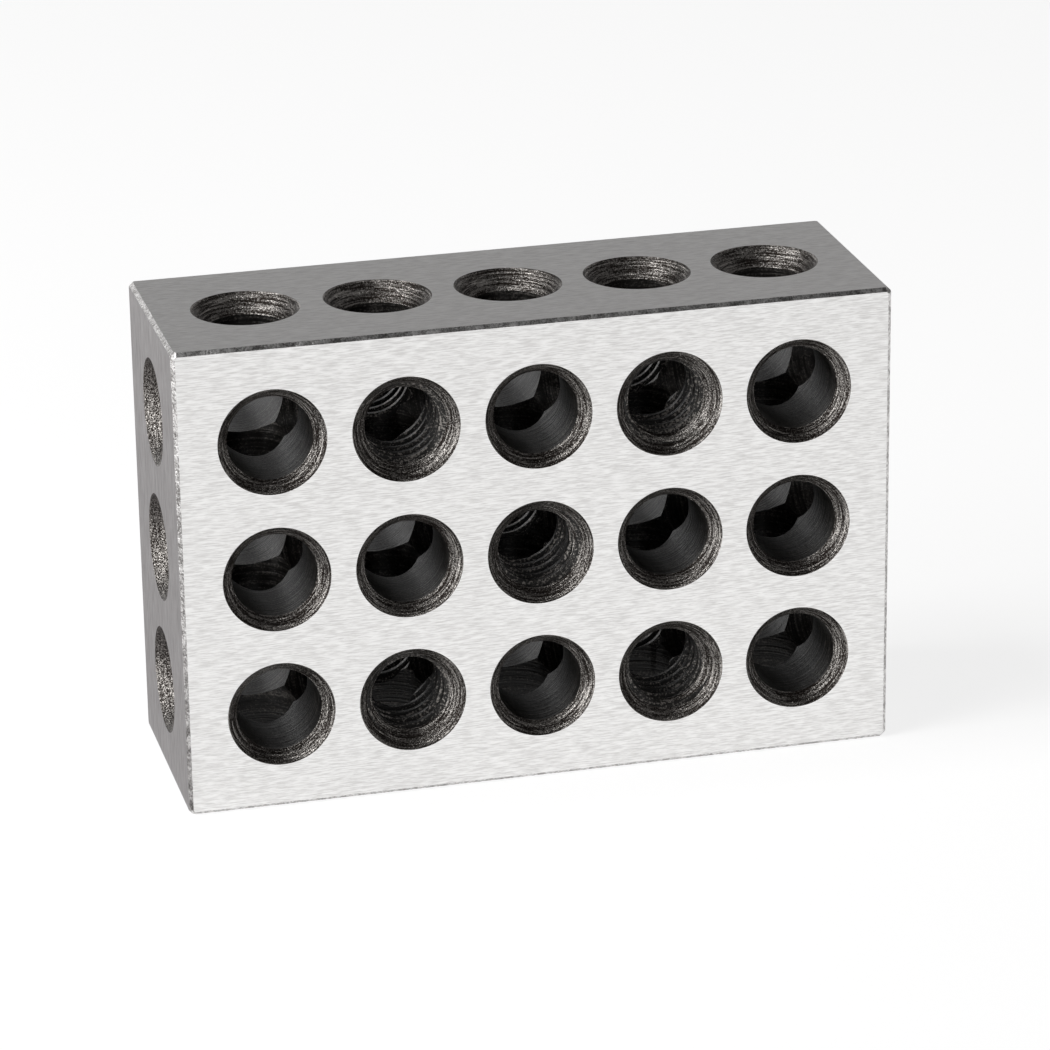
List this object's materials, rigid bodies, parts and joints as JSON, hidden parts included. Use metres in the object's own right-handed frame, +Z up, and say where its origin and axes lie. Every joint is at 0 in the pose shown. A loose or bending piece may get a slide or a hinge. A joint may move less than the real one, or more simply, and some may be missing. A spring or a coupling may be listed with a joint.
{
  "type": "setup block",
  "caption": "Ground steel setup block in 1:2:3 proportions, drilled through from all three pairs of faces with countersunk plain and tapped holes.",
  "frame": {"origin": "middle of the base face, on the surface the block stands on", "axes": "+X along the 3 inch edge, +Y along the 1 inch edge from front to back, +Z up the 2 inch edge"},
  "size_m": [0.0762, 0.0254, 0.0508],
  "materials": {
    "ground_steel": "surface-ground satin faces, dark rough bores"
  },
  "bodies": {
    "root": {"setup_block": "ground_steel"}
  },
  "joints": []
}
